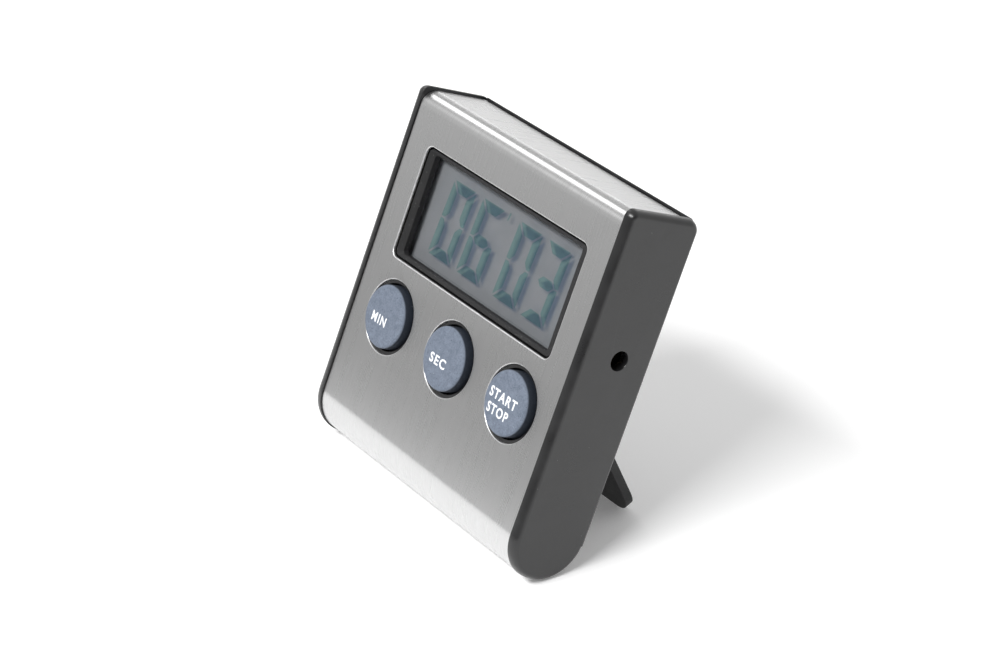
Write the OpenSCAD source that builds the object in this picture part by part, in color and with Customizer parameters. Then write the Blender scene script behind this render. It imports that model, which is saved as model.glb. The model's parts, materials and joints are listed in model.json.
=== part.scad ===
// Pocket lab timer with a brushed steel front, three rubber keys and a fold-out stand.
// The body is drawn upright: x to the right, y from the steel front to the back, z up,
// with z = 0 at the bottom of the steel's round end. Module leaned() then tips it back
// until it rests on its round end and on the foot of the open stand, with the floor at z = 0.

/* [Case] */
// Overall width over the two black side walls
body_w = 65; // [60:0.5:70]
// Depth from the steel front to the back face
body_d = 15.7; // [15.4:0.1:16.5]
// Height of the steel top above the bottom of the steel's round end
steel_top = 67; // [66:0.5:72]
// Outer radius of the steel's round lower end
end_r = 7.6; // [7.4:0.1:7.8]
// Thickness of each side wall
side_t = 2; // [1.8:0.1:2.2]
// How far the side walls stand proud of the steel
rim = 0.3; // [0.2:0.1:0.4]
// Thickness of the steel sheet
steel_t = 0.5; // [0.4:0.1:0.5]
// Wall thickness of the front housing behind the steel
wall = 1.5; // [1.3:0.1:1.6]
// How far the body leans back when it stands
lean = 20.8; // [18:0.1:25]

/* [Window] */
// Width of the steel cut-out
window_w = 49; // [47:0.5:50]
// Height of the steel cut-out
window_h = 21.3; // [20:0.1:22]
// Height of the cut-out's lower edge
window_z = 37; // [36.5:0.1:38]
// Width of the black ledge at each side of the cut-out
ledge_side = 1.95; // [1.5:0.05:2]
// Width of the black ledge above and below
ledge_end = 1.15; // [1:0.05:1.5]

/* [Keys] */
// Distance between neighbouring keys
key_pitch = 19.25; // [18.5:0.05:19.5]
// Height of the keys' centres
key_z = 26.8; // [26.5:0.1:27]
// Radius of a key's rubber cap
key_r = 5.85; // [5.5:0.05:6]
// Radius of the holes in the steel
key_hole_r = 6.85; // [6.7:0.05:7]
// How far a key stands proud of the steel
key_proud = 1.4; // [1.2:0.1:1.6]
// How far a key travels
key_travel = 1; // [0.6:0.1:1]

/* [Stand] */
// Width of the stand
stand_w = 45; // [34:0.5:45]
// Thickness of the stand
stand_t = 1.65; // [1.5:0.05:1.65]
// Distance from the hinge to the tip of the foot
stand_len = 26.8; // [26.4:0.1:27.8]
// Height of the hinge
stand_z = 28.05; // [27.8:0.05:28.2]

/* [Battery] */
// Radius of the AAA cell
cell_r = 5.25; // [5.1:0.05:5.25]
// Length of the AAA cell with its nub
cell_len = 44.5; // [44:0.1:44.5]
// Height of the cell's axis
cell_z = 12.4; // [12.3:0.1:12.5]

/* [Hidden] */
$fn = 64;

// Case
half_in = body_w / 2 - side_t;          // inner faces of the side walls
half_fit = half_in - 0.1;               // steel and rear cover, which drop in between them
side_top = steel_top + 0.5;             // the side walls' top edge
edge_r = 1.1;                           // rounding of the side walls' outer edges
bend_r = 3;                             // bend at the top of the steel front
front_corner_r = 1.5;                   // rounding of the side walls' upper front corner
rear_corner_r = 2.2;                    // rounding of the side walls' upper back corner
plate_corner_r = 1.6;                   // rounding of the rear cover's upper edge
step_z = 6.9;                           // where the flat back steps in to the round end
rear_t = 1.4;                           // thickness of the rear cover's plate
rear_in = body_d - rear_t;              // inner face of the rear cover's plate
steel_end_y = 10.1;                     // where the steel ends under the round end
inner_y = steel_t + wall;               // back face of the housing's front wall
glue_t = 0.02;                          // glue line under the steel
window_r = 1.5;                         // corners of the steel cut-out
ledge_r = 0.6;                          // corners inside the ledge
least_r = 0.3;                          // smallest corner of a nested outline
join = 0.2;                             // overlap of shapes that form one piece
past = 1;                               // how far a cut runs past the face that it opens

// Display stack, from the front backwards
polarizer_t = 0.15;
glass_t = 0.55;
reflector_t = 0.25;
lcd_y = inner_y + 0.05;                 // front of the front polarizer
glass_y = lcd_y + polarizer_t;
lcd_hw = 24.6;                          // half width of the glass
lcd_z0 = window_z - 1.8;
lcd_z1 = window_z + window_h + 0.3;
lcd_step = 2.2;                         // contact ledge left free by the rear glass
holder_t = 0.8;

// Circuit board
board_y = 6.6;
board_t = 1;
board_hw = 25.2;
board_z0 = 19.4;
board_z1 = 64.4;
board_boss_r = 1.9;
board_screw_xz = [[-21, 62.3], [21, 62.3], [-key_pitch / 2, 22.4], [key_pitch / 2, 22.4]];

// Keys
key_x = [-key_pitch, 0, key_pitch];
seat_r = key_r + 0.4;                   // hole in the plastic behind the steel
flange_r = key_r + 1.1;
flange_y = inner_y + 0.3;
flange_t = 1;
stem_r = 3;
pill_r = 2.4;
pill_t = 0.9;
pill_y = board_y - key_travel - 0.05 - pill_t;
mat_t = 0.8;
mat_hw = 25.6;

// Battery box and its lid
cell_y = 7.35;
box_hw = 23.9;                          // half length of the opening
box_z0 = cell_z - cell_r - 0.25;
box_z1 = cell_z + cell_r + 0.25;
spring_gap = 3;
cell_x0 = -cell_len / 2 + 1.25;         // flat end of the cell
box_wall = 0.9;
contact_t = 0.4;
contact_gap = 0.15;
tab_w = 2;
tab_y = board_y + board_t;
tab_top = board_z0 + 2.5;
lid_t = 1.1;
lid_hw = 24.8;
lid_z0 = box_z0 - 1;
lid_z1 = box_z1 + 1;
lid_gap = 0.2;
lid_stub_r = 0.4;
lid_stub_len = 0.6;
notch_r = 4;                            // fingernail notch in the lid's upper edge

// Pocket for the stand, with the lid in its floor
pocket_y = body_d - stand_t - 0.05;
pocket_hw = 25.2;
pan_t = 2;
pan_hw = pocket_hw + 0.8;
pan_top = stand_z + 4;
lid_axis_y = pocket_y - lid_t / 2;
lid_axis_z = lid_z0 + lid_t / 2;

// Stand hinge
hinge_y = body_d - stand_t / 2;
barrel_r = 1;
stub_r = 0.8;
stub_len = 2.2;
running_gap = 0.06;
stop_gap = 0.04;
heel_h = 2.2;
heel_x = 13;
heel_w = 5;
foot_r = 5;
ear_x = stand_w / 2 + 0.35;

// Standing pose: the body's outline rolls on its round end, and the stand opens to the floor
rim_r = end_r + rim;
lift = rim_r + end_r * (sin(lean) - cos(lean));
hinge_up = stand_z * cos(lean) - hinge_y * sin(lean) + lift;
stand_open = lean + acos(hinge_up / norm([stand_len, stand_t / 2])) + atan2(stand_t / 2, stand_len);
front_y = end_r * (cos(lean) + sin(lean)) - rim_r;
back_y = (body_d - plate_corner_r) * cos(lean) + (side_top - plate_corner_r) * sin(lean) + plate_corner_r;
centre_y = (front_y + back_y) / 2;

// Buzzer, behind the sound hole in the right-hand wall
sound_y = 8.2;
sound_z = 41.3;
sound_r = 1.8;
buzzer_r = 5.7;
chamber_w = 1.4;
buzzer_x = half_in - chamber_w;
buzzer_lip = 0.3;
brass_t = 0.25;
ceramic_t = 0.2;
wire_r = 0.45;

// Magnets and screws
magnet_r = 6;
magnet_t = 1.2;
magnet_x = 15;
magnet_z = 50;
magnet_proud = 0.1;
magnet_wall = 0.9;
case_screw_xz = [[-28, 62], [28, 62], [-28, 24], [28, 24]];
case_boss_r = 1.9;
case_screw_len = 7;
board_screw_len = 4.2;
pilot_r = 0.8;
clear_r = 1.1;
head_r = 1.65;
head_t = 1;

// ---- placing ----

// Tips the upright body back onto its round end
module leaned() {
    translate([0, -centre_y, lift]) rotate([-lean, 0, 0]) children();
}

// Extrudes a y-z outline along x
module across(x0, x1) {
    translate([x0, 0, 0]) rotate([90, 0, 90]) linear_extrude(x1 - x0) children();
}

// Extrudes an x-z outline along y
module through(y0, y1) {
    translate([0, y1, 0]) rotate([90, 0, 0]) linear_extrude(y1 - y0) children();
}

module rod_x(r, x0, x1, y, z) {
    translate([x0, y, z]) rotate([0, 90, 0]) cylinder(h = x1 - x0, r = r);
}

module rod_y(r, y0, y1, x, z) {
    translate([x, y0, z]) rotate([-90, 0, 0]) cylinder(h = y1 - y0, r = r);
}

module block(x0, x1, y0, y1, z0, z1) {
    translate([x0, y0, z0]) cube([x1 - x0, y1 - y0, z1 - z0]);
}

// ---- outlines ----

// Side outline: round lower end, straight front and back, rounded top corners
module side_outline(grow, top, rear, front_corner, rear_corner) {
    mid = rear / 2;
    translate([end_r, end_r]) circle(r = end_r + grow);
    translate([-grow, end_r]) square([mid + grow, top - front_corner - end_r]);
    translate([mid, end_r]) square([rear - mid, top - rear_corner - end_r]);
    translate([mid, step_z]) square([rear - mid, end_r - step_z]);
    translate([front_corner - grow, end_r])
        square([rear - rear_corner - front_corner + grow, top - end_r]);
    translate([front_corner - grow, top - front_corner]) circle(r = front_corner);
    translate([rear - rear_corner, top - rear_corner]) circle(r = rear_corner);
}

// Band that follows the steel's outline, from depth d0 to depth d1 below its surface
module front_band(d0, d1, end_y) {
    beyond = body_d + 5;
    difference() {
        side_outline(-d0, steel_top - d0, beyond, max(bend_r - d0, least_r), 1);
        side_outline(-d1, steel_top - d1, beyond + past, max(bend_r - d1, least_r), 1);
        translate([end_y, -past]) square([beyond, end_r + past]);
        translate([rear_in - 0.1, -past]) square([beyond, steel_top + 2 * past]);
    }
}

module rounded_window(hw, z0, z1, r) {
    translate([-hw, z0 + r]) square([2 * hw, z1 - z0 - 2 * r]);
    translate([-hw + r, z0]) square([2 * (hw - r), z1 - z0]);
    for (x = [-hw + r, hw - r], z = [z0 + r, z1 - r])
        translate([x, z]) circle(r = r);
}

// The steel cut-out, or with its ledge the smaller opening in the plastic behind it
module window_outline(side, end, r) {
    rounded_window(window_w / 2 - side, window_z + end, window_z + window_h - end, r);
}

// ---- case ----

// One side wall, with its outer edges rounded by slices that shrink along a quarter circle
module side_wall() {
    steps = 4;
    hull() {
        across(half_in, body_w / 2 - edge_r)
            side_outline(rim, side_top, body_d, front_corner_r, rear_corner_r);
        for (i = [1:steps]) {
            a = 90 * i / steps;
            inset = edge_r * (1 - cos(a));
            across(half_in, body_w / 2 - edge_r + edge_r * sin(a))
                side_outline(rim - inset, side_top - inset, body_d - inset,
                    max(front_corner_r - inset, least_r), rear_corner_r - inset);
        }
    }
}

module front_housing() {
    color("#333333") leaned() difference() {
        union() {
            side_wall();
            mirror([1, 0, 0]) side_wall();
            across(-half_in - join, half_in + join)
                front_band(steel_t + glue_t, inner_y, steel_end_y);
            for (p = case_screw_xz)
                rod_y(case_boss_r, inner_y - join, rear_in - 0.05, p[0], p[1]);
            for (p = board_screw_xz)
                rod_y(board_boss_r, inner_y - join, board_y, p[0], p[1]);
            rod_x(buzzer_r + buzzer_lip, buzzer_x, half_in + join, sound_y, sound_z);
        }
        through(-past, inner_y + past) window_outline(ledge_side, ledge_end, ledge_r);
        for (x = key_x)
            rod_y(seat_r, -past, inner_y + past, x, key_z);
        rod_x(buzzer_r - 2 * buzzer_lip, buzzer_x - past, half_in, sound_y, sound_z);
        rod_x(sound_r, half_in - past, body_w / 2 + past, sound_y, sound_z);
        for (p = case_screw_xz)
            rod_y(pilot_r, rear_in - case_screw_len, rear_in + past, p[0], p[1]);
        for (p = board_screw_xz)
            rod_y(pilot_r, board_y - board_screw_len, board_y + past, p[0], p[1]);
    }
}

// Thin steel wrap over the top, the front and the round lower end
module steel_cover() {
    color("#b4b4b4") leaned() difference() {
        across(-half_fit, half_fit) front_band(0, steel_t, steel_end_y);
        through(-past, inner_y) window_outline(0, 0, window_r);
        for (x = key_x)
            rod_y(key_hole_r, -past, inner_y, x, key_z);
    }
}

// ---- back ----

module rear_plate() {
    across(-half_fit, half_fit) intersection() {
        side_outline(rim, side_top, body_d, front_corner_r, plate_corner_r);
        difference() {
            translate([steel_end_y + 0.1, -past]) square([body_d, steel_top + 2 * past]);
            translate([end_r, end_r]) circle(r = rim_r - rear_t);
            translate([0, end_r]) square([rear_in, steel_top]);
        }
    }
}

// Walls round the cell, and the slots' backs that hold its two contact plates
module battery_walls() {
    x_in = box_hw + contact_gap;
    y0 = inner_y + 0.3;
    y1 = pocket_y - pan_t + join;
    for (z = [box_z0 - box_wall, box_z1])
        block(-x_in - box_wall, x_in + box_wall, y0, y1, z, z + box_wall);
    for (x = [-x_in - box_wall, x_in])
        block(x, x + box_wall, y0, y1, box_z0 - join, box_z1 + join);
}

module stand_pocket() {
    block(-pocket_hw, pocket_hw, pocket_y, body_d + past, -past, stand_z - 2.6);
    block(-ear_x, ear_x, pocket_y, body_d + past, stand_z - 3, stand_z + heel_h + 0.15);
    rod_x(barrel_r + 0.25, -ear_x, ear_x, hinge_y, stand_z);
    for (s = [-1, 1]) {
        rod_x(stub_r + running_gap, ear_x * s - 3, ear_x * s + 3, hinge_y, stand_z);
        heel_slot(s);
    }
}

// Slot that the stand's heel swings into; its lower face is the stop for the open stand
module heel_slot(s) {
    x = s * (heel_x + heel_w / 2);
    half = heel_w / 2 + 0.2;
    sweep_r = heel_h + 0.95;
    intersection() {
        rod_x(sweep_r, x - half, x + half, hinge_y, stand_z);
        translate([0, hinge_y, stand_z]) rotate([stand_open, 0, 0])
            block(x - half, x + half, -stand_t / 2 - stop_gap, sweep_r, -0.5, sweep_r);
    }
}

module rear_cover() {
    color("#2b2b2b") leaned() difference() {
        union() {
            rear_plate();
            block(-pan_hw, pan_hw, pocket_y - pan_t, rear_in + join, lid_z0 - 1.4, pan_top);
            battery_walls();
            for (x = [-magnet_x, magnet_x])
                rod_y(magnet_r + magnet_wall, rear_in - magnet_wall, rear_in + join, x, magnet_z);
        }
        stand_pocket();
        block(-box_hw, box_hw, 0, body_d, box_z0, box_z1);
        for (x = [cell_x0 - spring_gap, cell_x0 + cell_len])
            block(x - contact_gap, x + contact_t + contact_gap, tab_y - contact_gap,
                tab_y + tab_w + contact_gap, cell_z, tab_top);
        block(-lid_hw - lid_gap, lid_hw + lid_gap, lid_axis_y - lid_t / 2 - 0.05, body_d + past,
            lid_z0 - lid_gap, lid_z1 + lid_gap);
        rod_x(lid_stub_r + 0.05, -lid_hw - lid_stub_len - lid_gap, lid_hw + lid_stub_len + lid_gap,
            lid_axis_y, lid_axis_z);
        for (x = [-magnet_x, magnet_x])
            rod_y(magnet_r + 0.1, body_d - magnet_t + magnet_proud, body_d + past, x, magnet_z);
        for (p = case_screw_xz) {
            rod_y(clear_r, rear_in - past, body_d + past, p[0], p[1]);
            rod_y(head_r + 0.2, body_d - head_t, body_d + past, p[0], p[1]);
        }
    }
}

// Lid of the battery box: its lower edge is round and turns on two small stubs
module battery_cover() {
    color("#2f2f2f") leaned() difference() {
        union() {
            block(-lid_hw, lid_hw, lid_axis_y - lid_t / 2, lid_axis_y + lid_t / 2, lid_axis_z, lid_z1);
            rod_x(lid_t / 2, -lid_hw, lid_hw, lid_axis_y, lid_axis_z);
            rod_x(lid_stub_r, -lid_hw - lid_stub_len, lid_hw + lid_stub_len, lid_axis_y, lid_axis_z);
        }
        rod_y(notch_r, lid_axis_y, lid_axis_y + past, 0, lid_z1 + notch_r * 0.6);
    }
}

// Fold-out stand, drawn folded and then turned open about its hinge
module stand() {
    color("#2b2b2b") leaned() translate([0, hinge_y, stand_z]) rotate([stand_open, 0, 0]) {
        through(-stand_t / 2, stand_t / 2) {
            translate([-stand_w / 2, -stand_len + foot_r]) square([stand_w, stand_len - foot_r]);
            translate([-stand_w / 2 + foot_r, -stand_len]) square([stand_w - 2 * foot_r, stand_len]);
            for (x = [-stand_w / 2 + foot_r, stand_w / 2 - foot_r])
                translate([x, -stand_len + foot_r]) circle(r = foot_r);
        }
        rod_x(barrel_r, -stand_w / 2, stand_w / 2, 0, 0);
        rod_x(stub_r, -stand_w / 2 - stub_len, stand_w / 2 + stub_len, 0, 0);
        for (x = [-heel_x - heel_w, heel_x])
            block(x, x + heel_w, -stand_t / 2, stand_t / 2, 0, heel_h);
    }
}

module magnet(x) {
    color("#4a4a4c") leaned()
        rod_y(magnet_r, body_d - magnet_t + magnet_proud, body_d + magnet_proud, x, magnet_z);
}

module magnet_left() {
    magnet(-magnet_x);
}

module magnet_right() {
    magnet(magnet_x);
}

// Pan-head screw along y with its head at the back and a cross slot
module screw(x, z, head_y, r, head_radius, head_height, len) {
    slot = 0.45;
    difference() {
        union() {
            rod_y(head_radius, head_y - head_height, head_y, x, z);
            rod_y(r, head_y - head_height - len, head_y - head_height + join, x, z);
        }
        for (a = [0, 90])
            translate([x, head_y, z]) rotate([0, a, 0])
                block(-head_radius * 0.7, head_radius * 0.7, -slot, past, -slot / 2, slot / 2);
    }
}

module case_screws() {
    color("#9a9a98") leaned()
        for (p = case_screw_xz)
            screw(p[0], p[1], body_d - 0.05, pilot_r, head_r, head_t - 0.05, case_screw_len);
}

module board_screws() {
    color("#9a9a98") leaned()
        for (p = board_screw_xz)
            screw(p[0], p[1], board_y + board_t + 0.9, pilot_r, head_r, 0.9, board_screw_len);
}

// ---- display ----

// A flat rectangle of the display stack
module lcd_layer(y, t, z0) {
    block(-lcd_hw, lcd_hw, y, y + t, z0, lcd_z1);
}

module lcd_front_polarizer() {
    color("#8d9492") leaned() lcd_layer(lcd_y, polarizer_t, lcd_z0 + lcd_step);
}

module lcd_front_glass() {
    color("#b9c4c2", 0.5) leaned() lcd_layer(glass_y, glass_t, lcd_z0);
}

module lcd_rear_glass() {
    color("#b9c4c2", 0.5) leaned() lcd_layer(glass_y + glass_t, glass_t, lcd_z0 + lcd_step);
}

module lcd_reflector() {
    color("#8c8c8c") leaned() lcd_layer(glass_y + 2 * glass_t, reflector_t, lcd_z0 + lcd_step);
}

// Rubber connector with conducting layers, from the glass's ledge to the board
module zebra_strip() {
    strip_hw = 22;
    color("#d9a9a0") leaned()
        block(-strip_hw, strip_hw, glass_y + glass_t, board_y, lcd_z0 + 0.15, lcd_z0 + lcd_step - 0.2);
}

// Plastic frame that locates the glass on the board
module lcd_holder() {
    gap = 0.1;
    hw = lcd_hw + gap;
    color("#e6e6e2") leaned() difference() {
        block(-hw - holder_t, hw + holder_t, lcd_y, board_y, lcd_z0 - gap - holder_t,
            lcd_z1 + gap + holder_t);
        block(-hw, hw, 0, board_y + past, lcd_z0 - gap, lcd_z1 + gap);
    }
}

// ---- electronics ----

module circuit_board() {
    color("#2f6b3c") leaned() difference() {
        block(-board_hw, board_hw, board_y, board_y + board_t, board_z0, board_z1);
        for (p = board_screw_xz)
            rod_y(clear_r, board_y - past, board_y + board_t + past, p[0], p[1]);
    }
}

// Epoxy drop over the clock chip
module chip_blob() {
    blob_r = 5;
    blob_h = 1.4;
    ball_r = (blob_r * blob_r + blob_h * blob_h) / (2 * blob_h);
    color("#141414") leaned() translate([-4, board_y + board_t, 42]) rotate([-90, 0, 0])
        rotate_extrude() intersection() {
            translate([0, blob_h - ball_r]) circle(r = ball_r, $fn = 256);
            square([blob_r + 1, blob_h + 1]);
        }
}

// Watch crystal, a small can lying on the board
module crystal_can() {
    can_r = 1;
    can_len = 6;
    color("#c9c9c6") leaned() rod_x(can_r, 4, 4 + can_len, board_y + board_t + can_r, 47);
}

module chip_capacitors() {
    len = 2;
    wide = 1.2;
    high = 0.8;
    back = board_y + board_t;
    color("#b79a6a") leaned()
        for (p = [[5, 42], [5, 39.5], [9, 42], [9, 39.5], [-14, 38], [-14, 46]])
            block(p[0], p[0] + len, back, back + high, p[1], p[1] + wide);
}

// Silicone mat with a raised rim round each key's contact
module keypad_mat() {
    rim_top = flange_y + flange_t + key_travel + 0.2;
    well_r = stem_r + 1.6;
    color("#8f959b") leaned() difference() {
        union() {
            block(-mat_hw, mat_hw, board_y - mat_t, board_y, board_z0 + 0.3, key_z + flange_r);
            for (x = key_x)
                rod_y(flange_r - 0.2, rim_top, board_y - join, x, key_z);
        }
        for (x = key_x)
            rod_y(well_r, 0, board_y + past, x, key_z);
        for (p = board_screw_xz)
            rod_y(board_boss_r + 0.2, 0, board_y + past, p[0], p[1]);
    }
}

// Rubber key: domed cap, flange behind the housing and a stem towards the board
module key(x) {
    round_r = 0.6;
    dome_h = 0.15;
    color("#8c97a8") leaned() translate([x, 0, key_z]) rotate([-90, 0, 0]) rotate_extrude() union() {
        translate([0, -key_proud + dome_h]) square([key_r - round_r, key_proud + flange_y]);
        translate([0, -key_proud + dome_h + round_r]) square([key_r, key_proud + flange_y - round_r]);
        translate([key_r - round_r, -key_proud + dome_h + round_r]) circle(r = round_r);
        polygon([[0, -key_proud], [key_r * 0.55, -key_proud + 0.04],
            [key_r - round_r, -key_proud + dome_h], [key_r - round_r, 0], [0, 0]]);
        translate([0, flange_y]) square([flange_r, flange_t]);
        translate([0, flange_y]) square([stem_r, pill_y - flange_y]);
    }
}

module button_minutes() {
    key(key_x[0]);
}

module button_seconds() {
    key(key_x[1]);
}

module button_start_stop() {
    key(key_x[2]);
}

// Conducting rubber contact on the end of a key's stem
module pill(x) {
    color("#1c1c1c") leaned() rod_y(pill_r, pill_y, pill_y + pill_t, x, key_z);
}

module pill_minutes() {
    pill(key_x[0]);
}

module pill_seconds() {
    pill(key_x[1]);
}

module pill_start_stop() {
    pill(key_x[2]);
}

// ---- buzzer ----

module buzzer_plate() {
    color("#c8a04a") leaned() rod_x(buzzer_r, buzzer_x - brass_t, buzzer_x, sound_y, sound_z);
}

module buzzer_ceramic() {
    ceramic_r = 4;
    color("#e8e2d2") leaned()
        rod_x(ceramic_r, buzzer_x - brass_t - ceramic_t, buzzer_x - brass_t, sound_y, sound_z);
}

// Insulated wire from face x0 of a part at depth y, bending down onto the board's back
module lead(x0, x1, y, z) {
    bend = 1;
    rod_x(wire_r, x1 + bend, x0, y, z);
    translate([x1 + bend, y - bend, z]) rotate([0, 0, 90]) rotate_extrude(angle = 90)
        translate([bend, 0]) circle(r = wire_r);
    rod_y(wire_r, board_y + board_t, y - bend, x1, z);
}

module buzzer_wires() {
    ceramic_x = buzzer_x - brass_t - ceramic_t;
    pad_x = 23;
    lead_y = 9.9;
    color("#b02a20") leaned() {
        lead(ceramic_x, pad_x, lead_y, sound_z + 1.2);
        lead(buzzer_x - brass_t, pad_x, lead_y, sound_z + 4.6);
    }
}

// ---- battery ----

module battery_cell() {
    nub = 1;
    nub_r = 1.9;
    x1 = cell_x0 + cell_len - nub;
    color("#3f7f56") leaned() {
        rod_x(cell_r, cell_x0, x1, cell_y, cell_z);
        rod_x(nub_r, x1 - join, x1 + nub, cell_y, cell_z);
    }
}

// Point on the contact spring's axis line, t from 0 at the plate to 1 at the cell
function coil_centre(t, turns, r0, r1, x0, x1, flat) =
    let (a = 360 * turns * t, r = r0 + (r1 - r0) * t, s = min(max((t - flat) / (1 - 2 * flat), 0), 1))
    [x0 + (x1 - x0) * s, r * cos(a), r * sin(a)];

// Conical coil that presses on the cell's flat end
module battery_spring() {
    wire = 0.3;
    sides = 8;
    turns = 3.5;
    rings = 70;
    wide_r = 3.4;
    narrow_r = 2.2;
    flat = 0.16;                        // share of the coil that lies flat at each end
    x0 = cell_x0 - spring_gap + contact_t + wire;
    x1 = cell_x0 - wire;
    points = [
        for (i = [0:rings], k = [0:sides - 1])
            let (t = i / rings, a = 360 * turns * t, b = 360 * k / sides,
                c = coil_centre(t, turns, wide_r, narrow_r, x0, x1, flat))
            c + wire * [sin(b), cos(b) * cos(a), cos(b) * sin(a)]
    ];
    quads = [
        for (i = [0:rings - 1], k = [0:sides - 1])
            let (near = i * sides, far = near + sides, next = (k + 1) % sides)
            [near + k, far + k, far + next, near + next]
    ];
    near_cap = [[for (k = [0:sides - 1]) k]];
    far_cap = [[for (k = [sides - 1:-1:0]) rings * sides + k]];
    color("#b9b9b6") leaned() translate([0, cell_y, cell_z])
        polyhedron(points, concat(quads, near_cap, far_cap));
}

// Contact plate with a tab that is soldered to the board's back
module contact_plate(x) {
    half = 4.2;
    block(x, x + contact_t, cell_y - half, cell_y + half, cell_z - half, cell_z + half);
    block(x, x + contact_t, tab_y, tab_y + tab_w, cell_z, tab_top);
}

module battery_spring_plate() {
    color("#c6c6c2") leaned() contact_plate(cell_x0 - spring_gap);
}

module battery_contact_plate() {
    color("#c6c6c2") leaned() contact_plate(cell_x0 + cell_len);
}

front_housing();
steel_cover();
rear_cover();
lcd_front_polarizer();
lcd_front_glass();
lcd_rear_glass();
lcd_reflector();
zebra_strip();
lcd_holder();
circuit_board();
chip_blob();
crystal_can();
chip_capacitors();
keypad_mat();
button_minutes();
button_seconds();
button_start_stop();
pill_minutes();
pill_seconds();
pill_start_stop();
buzzer_plate();
buzzer_ceramic();
buzzer_wires();
battery_cell();
battery_spring();
battery_spring_plate();
battery_contact_plate();
battery_cover();
magnet_left();
magnet_right();
case_screws();
board_screws();
stand();
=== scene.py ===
import json
from math import acos, asin, atan2, cos, pi, radians, sin

import bmesh
import bpy
from mathutils import Matrix, Vector


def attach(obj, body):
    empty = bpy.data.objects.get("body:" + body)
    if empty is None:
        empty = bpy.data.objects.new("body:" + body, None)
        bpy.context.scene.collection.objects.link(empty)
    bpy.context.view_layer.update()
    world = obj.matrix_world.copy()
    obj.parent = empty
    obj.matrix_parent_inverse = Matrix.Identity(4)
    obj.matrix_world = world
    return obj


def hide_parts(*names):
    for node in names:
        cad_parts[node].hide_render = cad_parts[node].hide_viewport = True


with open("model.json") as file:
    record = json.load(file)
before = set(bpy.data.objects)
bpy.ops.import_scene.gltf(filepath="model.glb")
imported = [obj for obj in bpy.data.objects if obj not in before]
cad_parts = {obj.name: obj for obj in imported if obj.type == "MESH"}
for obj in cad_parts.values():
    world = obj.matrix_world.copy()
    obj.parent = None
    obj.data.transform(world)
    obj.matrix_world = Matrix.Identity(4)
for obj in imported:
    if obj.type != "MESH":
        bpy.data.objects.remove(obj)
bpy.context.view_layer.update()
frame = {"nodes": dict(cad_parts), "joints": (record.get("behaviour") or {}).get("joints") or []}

# A small lab timer: brushed steel front, recessed display, three rubber keys, fold-out stand.
# Pieces are drawn upright: x to the right, y from the steel front to the back, z up from the
# bottom of the round end, in metres. TO_ROW then leans them back to where the CAD has them.

MM = 0.001

# Steel front and the plastic front wall behind it
STEEL_T = 0.5 * MM
GLUE_T = 0.02 * MM          # between glued layers
WALL = 1.5 * MM
END_R = 7.6 * MM            # outside radius of the round end
BEND_R = 3.0 * MM           # bend between the front and the top
REAR_GAP = 0.35 * MM        # shadow gap between the steel's rear end and the back
SIDE_GAP = 0.1 * MM         # between the steel's side edges and the walls
CUT_ROLL = 0.22 * MM        # rolled edge of the steel's cuts
MOULD_BEVEL = 0.12 * MM     # broken edge of moulded plastic

# Window: the steel cut-out, and inside it the frame that slopes in to the display
WINDOW_HALF_W = 24.5 * MM
WINDOW_Z = (37.0 * MM, 58.3 * MM)
WINDOW_R = 1.5 * MM
LEDGE_SIDE = 1.95 * MM
LEDGE_END = 1.15 * MM
LEDGE_R = 0.6 * MM
LEDGE_DROP = 0.4 * MM       # how far the ledge slopes in
GROOVE = 0.35 * MM          # gap between the steel's edge and the frame

# Side walls
EDGE_R = 1.1 * MM
EDGE_ACROSS = 1.85 * MM     # the same rounding, measured across the wall
FRONT_CORNER_R = 1.5 * MM
REAR_CORNER_R = 2.2 * MM
STEP_Z = 6.9 * MM           # where the flat back steps in to the round end
SOUND_R = 1.8 * MM

# Keys
KEY_R = 5.85 * MM
KEY_HOLE_R = 6.85 * MM
KEY_SEAT_R = 6.25 * MM
KEY_EDGE_R = 0.6 * MM
KEY_DOME = 0.12 * MM
FLANGE_R = 6.95 * MM
FLANGE_T = 1.0 * MM
STEM_R = 3.0 * MM
PALE_TOP_DEPTH = 0.34 * MM      # how far the pale top colour reaches down a key's side

# Display digits
DIGIT_W = 6.9 * MM
DIGIT_H = 14.3 * MM
STROKE = 1.9 * MM
STROKE_GAP = 0.32 * MM
DIGIT_SLANT = 0.06
DIGIT_BASE_Z = 40.5 * MM
DIGIT_LEFTS = [-17.6 * MM, -8.5 * MM, 2.8 * MM, 11.3 * MM]
READOUT = "0603"
TICK_PLACE = (0.5 * MM, 54.3 * MM)
SHADOW_DEPTH = 1.2 * MM     # from the segments to the reflector
FILM_T = 0.02 * MM          # thickness of the segments and of the ink on the keys

# Camera, about the middle of the timer
CAMERA_PLACE = Vector((0.394083, -0.278182, 0.276060))
CAMERA_AIM = Vector((0.0007, -0.0001, 0.0312))
CAMERA_ROLL = radians(1.945)
CAMERA_LENS = 109.93


# ---- frame ----

def joint(name):
    return next(j for j in frame["joints"] if j["name"] == name)


press = Vector(joint("press_minutes")["axis"])
LEAN = atan2(-press.z, press.y)


def upright_frame():
    """The matrix that leans an upright piece back to its place in the row frame."""
    turn = Matrix.Rotation(LEAN, 4, "X")
    steel = [turn @ v.co for v in frame["nodes"]["steel_cover"].data.vertices]
    low = Vector((0, min(p.y for p in steel), min(p.z for p in steel)))
    return (Matrix.Translation(-low) @ turn).inverted()


TO_ROW = upright_frame()
TO_UPRIGHT = TO_ROW.inverted()


def upright_points(node):
    return [TO_UPRIGHT @ v.co for v in frame["nodes"][node].data.vertices]


def upright_box(node):
    """Lowest and highest corners of a CAD node, in the upright frame."""
    points = upright_points(node)
    low = Vector([min(p[i] for p in points) for i in range(3)])
    high = Vector([max(p[i] for p in points) for i in range(3)])
    return low, high


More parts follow.
